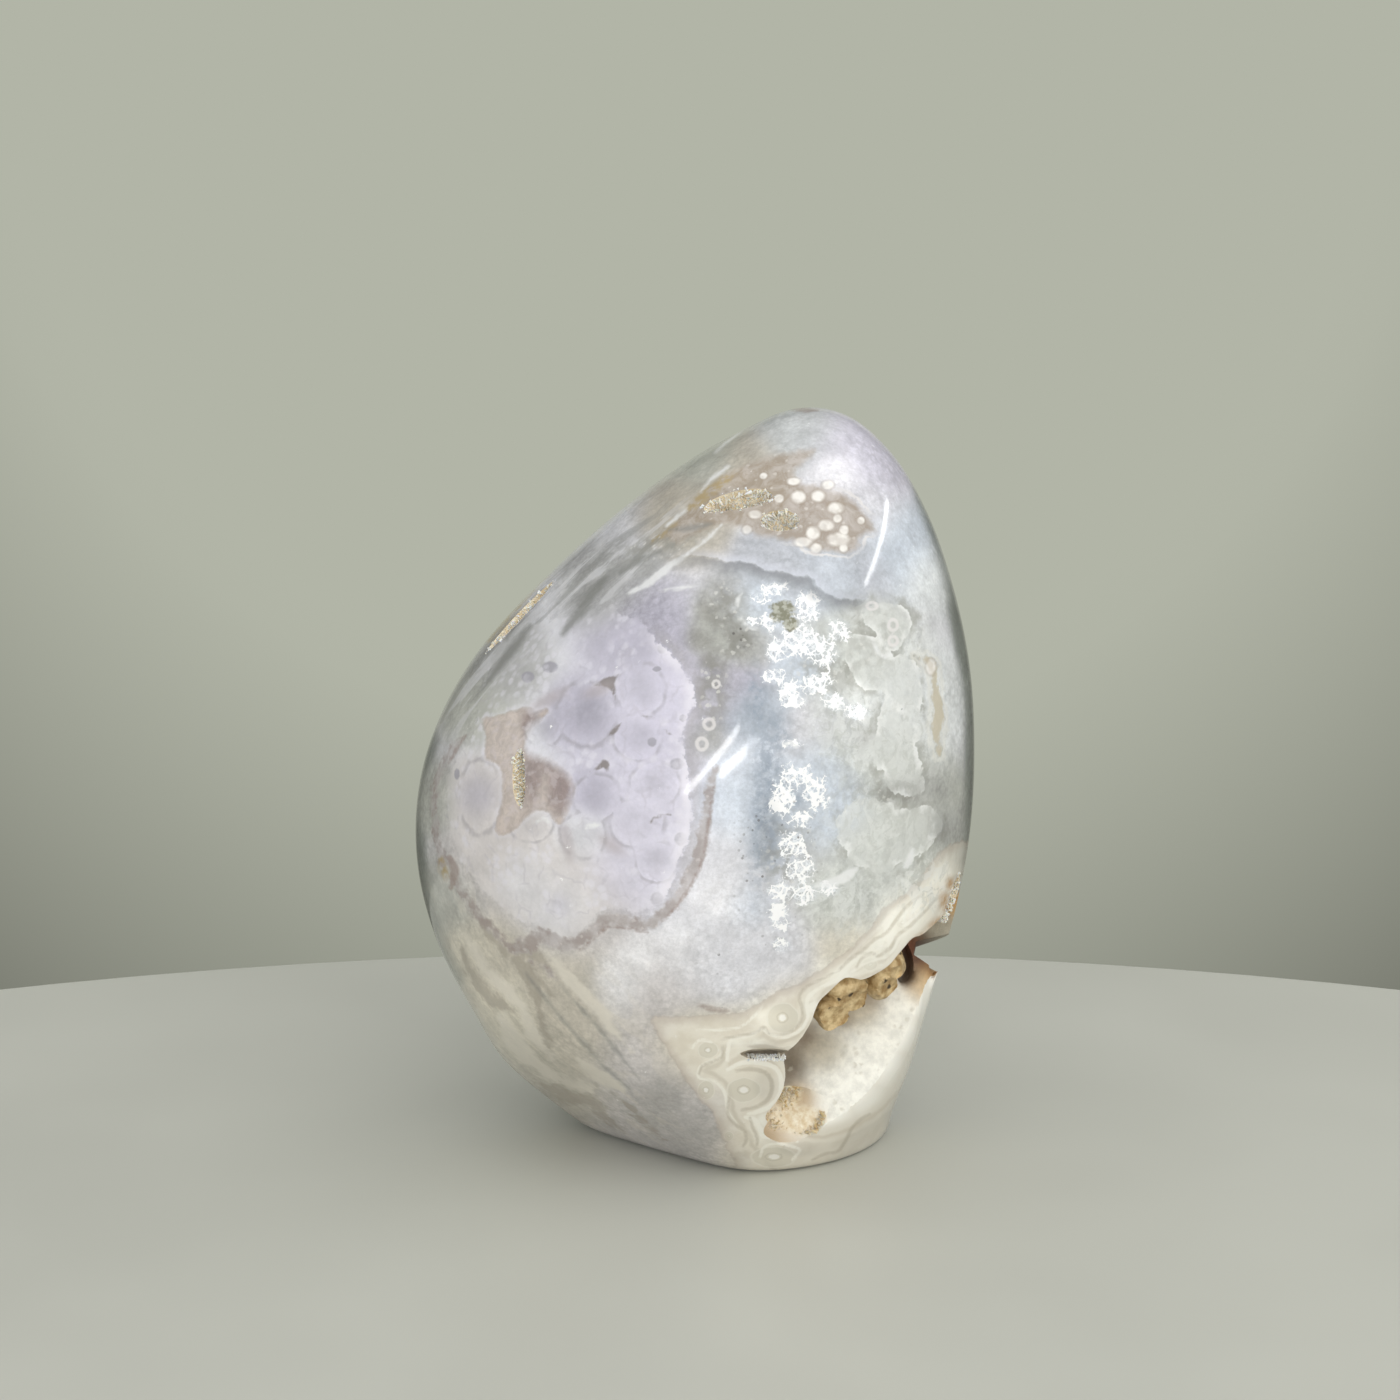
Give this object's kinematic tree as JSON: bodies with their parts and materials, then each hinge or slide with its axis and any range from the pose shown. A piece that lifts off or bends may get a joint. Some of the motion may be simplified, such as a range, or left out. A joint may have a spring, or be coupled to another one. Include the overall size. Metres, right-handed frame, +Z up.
{
  "type": "flower agate freeform",
  "caption": "Hand-polished agate freeform: a leaning rounded pebble that stands on a ground flat, with a rough crevice and small crystal-lined pockets.",
  "frame": {"origin": "on the surface the stone stands on, under the middle of its box", "axes": "+Z up along the stone's longest extent, +X to the viewer's right in the picture, +Y away from the viewer; the crevice opens towards -Y and +X"},
  "size_m": [0.0769, 0.0632, 0.1032],
  "materials": {
    "polished_agate": "high polish, slightly translucent, with rough matte crevice walls",
    "druse": "fine golden quartz crystals with flat glinting faces"
  },
  "bodies": {
    "root": {"agate_stone": "polished_agate", "vug_crystals": "druse", "crown_pocket_crystals": "druse", "crown_seam_crystals": "druse", "flower_slit_crystals": "druse", "shoulder_crystals": "druse", "side_pocket_crystals": "druse"}
  },
  "joints": []
}
